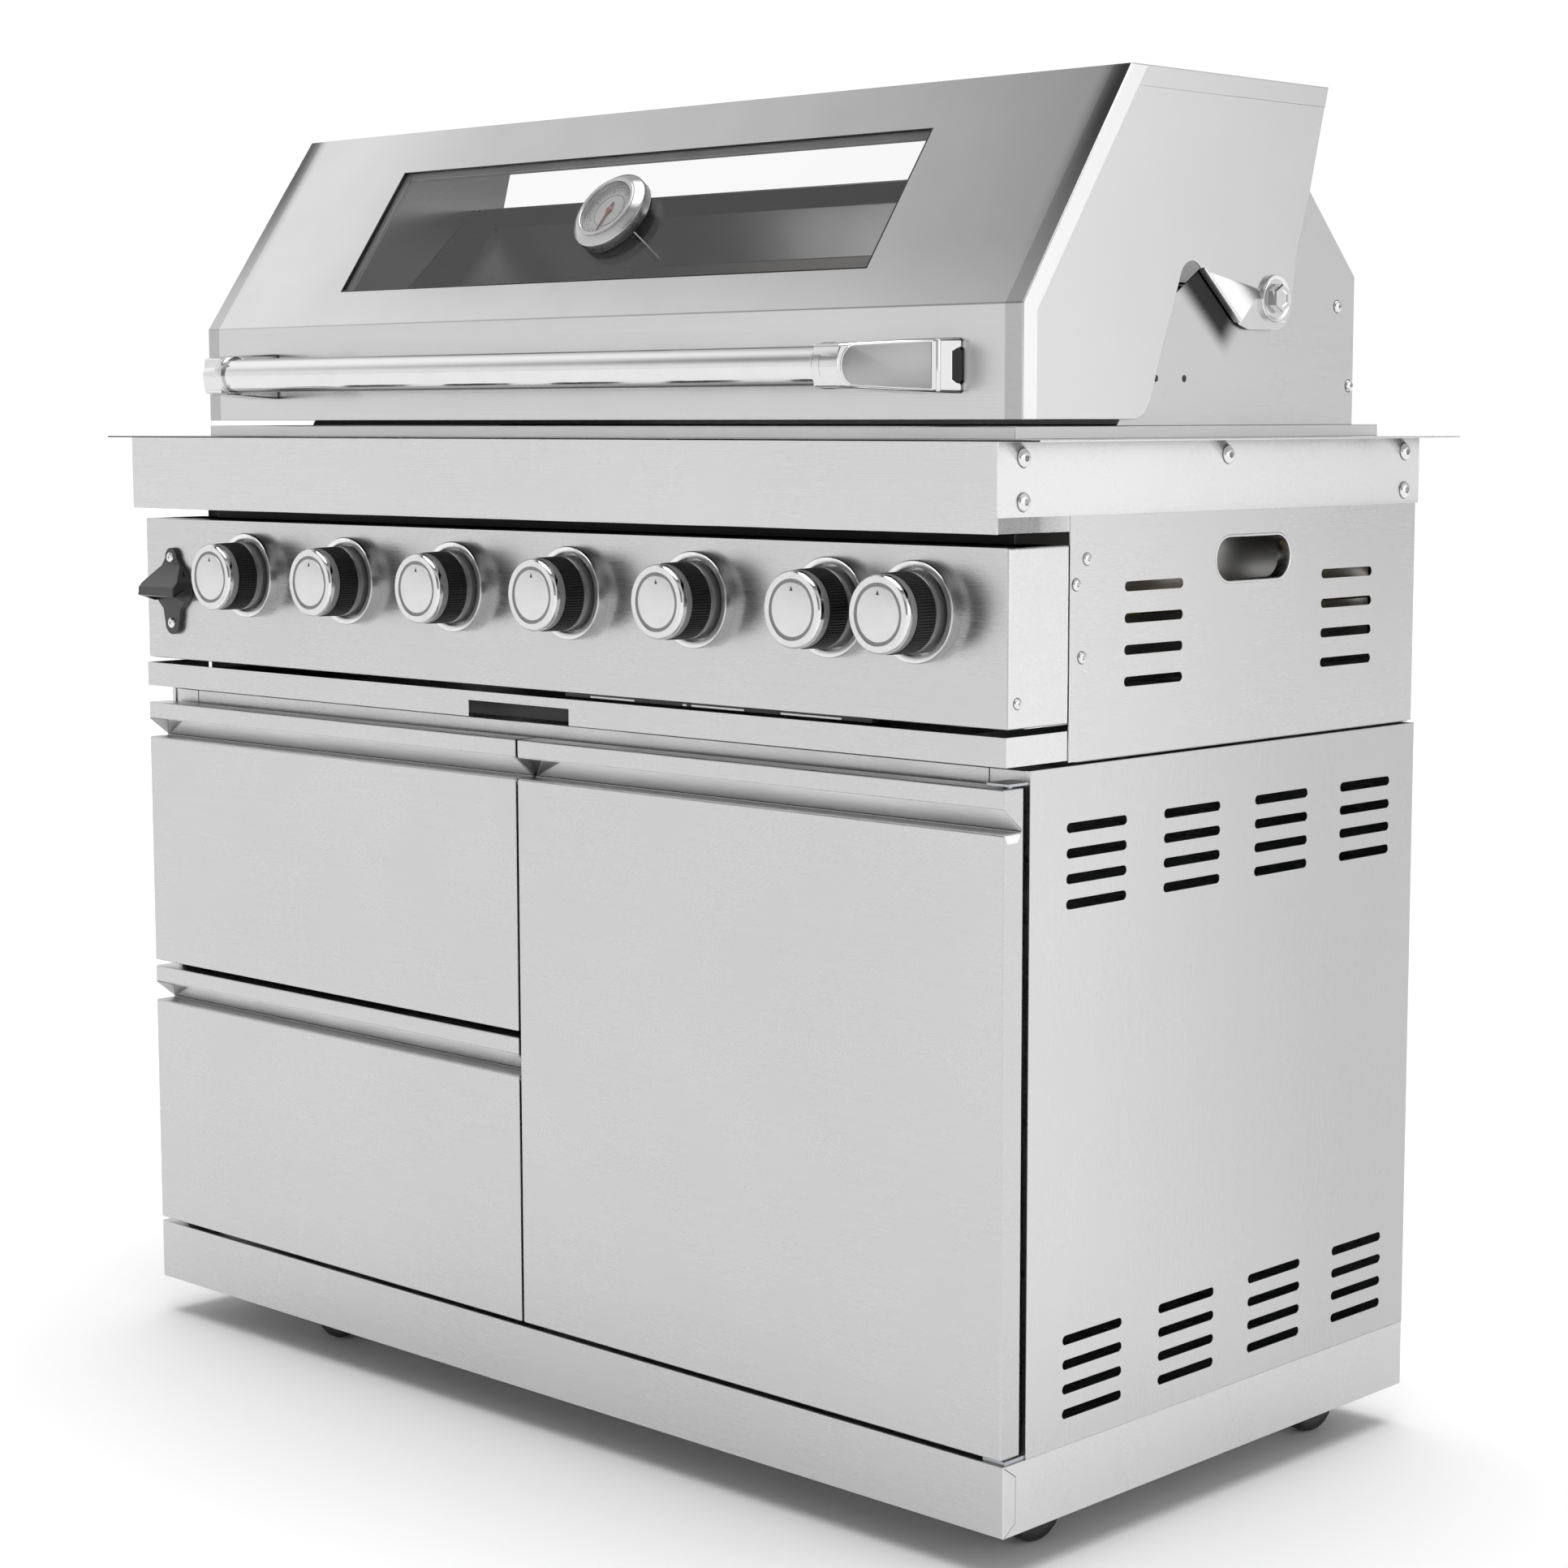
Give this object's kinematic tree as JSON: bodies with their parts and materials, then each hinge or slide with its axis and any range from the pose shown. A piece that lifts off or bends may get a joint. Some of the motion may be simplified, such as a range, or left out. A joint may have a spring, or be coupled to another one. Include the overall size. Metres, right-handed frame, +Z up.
{
  "type": "gas barbecue grill",
  "caption": "Free-standing stainless-steel gas grill: hinged lid with window and tube handle over a burner box, on a wheeled cabinet with drawers and a door.",
  "frame": {"origin": "on the floor, at the middle of the overall footprint", "axes": "+X to the right seen from the front, +Y to the back (the controls face -Y), +Z up"},
  "size_m": [1.266, 0.645, 1.2503],
  "materials": {
    "stainless": "brushed stainless sheet",
    "polished_stainless": "fine brushed stainless sheet, satin to semi-polished",
    "chrome": "polished chrome",
    "zinc_steel": "bright zinc-plated steel",
    "dark_steel": "heat-darkened steel",
    "cast_iron": "matte enamelled cast iron",
    "brass": "machined brass",
    "black_cast": "black powder-coated casting",
    "black_plastic": "ribbed black plastic with chrome rim",
    "smoked_glass": "smoked heat-proof glass",
    "needle_red": "painted thin metal",
    "caster_rubber": "black rubber"
  },
  "bodies": {
    "frame": {"plinth": "stainless", "cabinet_floor": "stainless", "cabinet_left_side": "stainless", "cabinet_right_side": "stainless", "cabinet_back": "stainless", "cabinet_divider": "stainless", "cabinet_top_rail": "stainless", "door_hinge_pins": "zinc_steel", "drawer_runners": "zinc_steel", "caster_plates": "zinc_steel", "body_left_side": "stainless", "body_right_side": "stainless", "body_back": "stainless", "control_panel": "stainless", "trim_collar": "stainless", "firebox": "dark_steel", "gas_manifold": "brass", "gas_valves": "brass", "main_burners": "dark_steel", "heat_tents": "dark_steel", "cooking_grates": "cast_iron", "warming_rack": "chrome", "rear_housing": "stainless", "rear_burner": "dark_steel", "drip_rails": "zinc_steel", "knob_bezels": "chrome", "igniter_housing": "chrome", "bottle_opener": "black_cast", "trim_screws": "chrome", "lid_hinge_bolts": "chrome"},
    "lid": {"lid_shell": "polished_stainless", "window_frame": "dark_steel", "window_glass": "smoked_glass", "handle_tube": "chrome", "handle_brackets": "chrome", "thermometer_case": "chrome"},
    "needle": {"thermometer_needle": "needle_red"},
    "knob_1": {"knob_1": "black_plastic"},
    "knob_2": {"knob_2": "black_plastic"},
    "knob_3": {"knob_3": "black_plastic"},
    "knob_4": {"knob_4": "black_plastic"},
    "knob_5": {"knob_5": "black_plastic"},
    "knob_6": {"knob_6": "black_plastic"},
    "rear_burner_knob": {"rear_burner_knob": "black_plastic"},
    "igniter_button": {"igniter_button": "chrome"},
    "upper_drawer": {"upper_drawer_front": "stainless", "upper_drawer_box": "zinc_steel"},
    "lower_drawer": {"lower_drawer_front": "stainless", "lower_drawer_box": "zinc_steel"},
    "door": {"cabinet_door": "stainless"},
    "drip_drawer": {"drip_drawer_front": "stainless", "drip_tray": "zinc_steel"},
    "caster_1": {"caster_fork_1": "zinc_steel"},
    "wheel_1": {"caster_wheel_1": "caster_rubber"},
    "caster_2": {"caster_fork_2": "zinc_steel"},
    "wheel_2": {"caster_wheel_2": "caster_rubber"},
    "caster_3": {"caster_fork_3": "zinc_steel"},
    "wheel_3": {"caster_wheel_3": "caster_rubber"},
    "caster_4": {"caster_fork_4": "zinc_steel"},
    "wheel_4": {"caster_wheel_4": "caster_rubber"}
  },
  "joints": [
    {"name": "lid_hinge", "type": "hinge", "parent": "frame", "child": "lid", "pos_m": [0, 0.139, 1.0608], "axis": [-1, 0, 0], "range_deg": [0, 90]},
    {"name": "needle_turn", "type": "hinge", "parent": "lid", "child": "needle", "pos_m": [0, -0.14853, 1.15043], "axis": [0, -0.8206, 0.5715], "range_deg": [-300, 0], "stiffness_Nm_per_rad": 0.004},
    {"name": "knob_1_turn", "type": "hinge", "parent": "frame", "child": "knob_1", "pos_m": [-0.4025, -0.2975, 0.7995], "axis": [0, 1, 0], "range_deg": [-210, 0]},
    {"name": "knob_2_turn", "type": "hinge", "parent": "frame", "child": "knob_2", "pos_m": [-0.2415, -0.2975, 0.7995], "axis": [0, 1, 0], "range_deg": [-210, 0]},
    {"name": "knob_3_turn", "type": "hinge", "parent": "frame", "child": "knob_3", "pos_m": [-0.0805, -0.2975, 0.7995], "axis": [0, 1, 0], "range_deg": [-210, 0]},
    {"name": "knob_4_turn", "type": "hinge", "parent": "frame", "child": "knob_4", "pos_m": [0.0805, -0.2975, 0.7995], "axis": [0, 1, 0], "range_deg": [-210, 0]},
    {"name": "knob_5_turn", "type": "hinge", "parent": "frame", "child": "knob_5", "pos_m": [0.2415, -0.2975, 0.7995], "axis": [0, 1, 0], "range_deg": [-210, 0]},
    {"name": "knob_6_turn", "type": "hinge", "parent": "frame", "child": "knob_6", "pos_m": [0.4025, -0.2975, 0.7995], "axis": [0, 1, 0], "range_deg": [-210, 0]},
    {"name": "rear_burner_knob_turn", "type": "hinge", "parent": "frame", "child": "rear_burner_knob", "pos_m": [0.4985, -0.2975, 0.7995], "axis": [0, 1, 0], "range_deg": [-210, 0]},
    {"name": "igniter_press", "type": "slide", "parent": "frame", "child": "igniter_button", "axis": [0, 1, 0], "range_m": [0, 0.004], "stiffness_N_per_m": 400},
    {"name": "upper_drawer_slide", "type": "slide", "parent": "frame", "child": "upper_drawer", "axis": [0, -1, 0], "range_m": [0, 0.4]},
    {"name": "lower_drawer_slide", "type": "slide", "parent": "frame", "child": "lower_drawer", "axis": [0, -1, 0], "range_m": [0, 0.4]},
    {"name": "door_hinge", "type": "hinge", "parent": "frame", "child": "door", "pos_m": [0.58, -0.2555, 0.38], "axis": [0, 0, 1], "range_deg": [0, 110]},
    {"name": "drip_drawer_slide", "type": "slide", "parent": "frame", "child": "drip_drawer", "axis": [0, -1, 0], "range_m": [0, 0.42]},
    {"name": "caster_1_swivel", "type": "hinge", "parent": "frame", "child": "caster_1", "pos_m": [-0.383, -0.1975, 0.083], "axis": [0, 0, 1], "continuous": true},
    {"name": "wheel_1_roll", "type": "hinge", "parent": "caster_1", "child": "wheel_1", "pos_m": [-0.375, -0.1975, 0.035], "axis": [0, 1, 0], "continuous": true},
    {"name": "caster_2_swivel", "type": "hinge", "parent": "frame", "child": "caster_2", "pos_m": [0.537, -0.1755, 0.083], "axis": [0, 0, 1], "continuous": true},
    {"name": "wheel_2_roll", "type": "hinge", "parent": "caster_2", "child": "wheel_2", "pos_m": [0.537, -0.1675, 0.035], "axis": [-1, 0, 0], "continuous": true},
    {"name": "caster_3_swivel", "type": "hinge", "parent": "frame", "child": "caster_3", "pos_m": [-0.383, 0.2365, 0.083], "axis": [0, 0, 1], "continuous": true},
    {"name": "wheel_3_roll", "type": "hinge", "parent": "caster_3", "child": "wheel_3", "pos_m": [-0.375, 0.2365, 0.035], "axis": [0, 1, 0], "continuous": true},
    {"name": "caster_4_swivel", "type": "hinge", "parent": "frame", "child": "caster_4", "pos_m": [0.537, 0.2365, 0.083], "axis": [0, 0, 1], "continuous": true},
    {"name": "wheel_4_roll", "type": "hinge", "parent": "caster_4", "child": "wheel_4", "pos_m": [0.537, 0.2445, 0.035], "axis": [-1, 0, 0], "continuous": true}
  ]
}
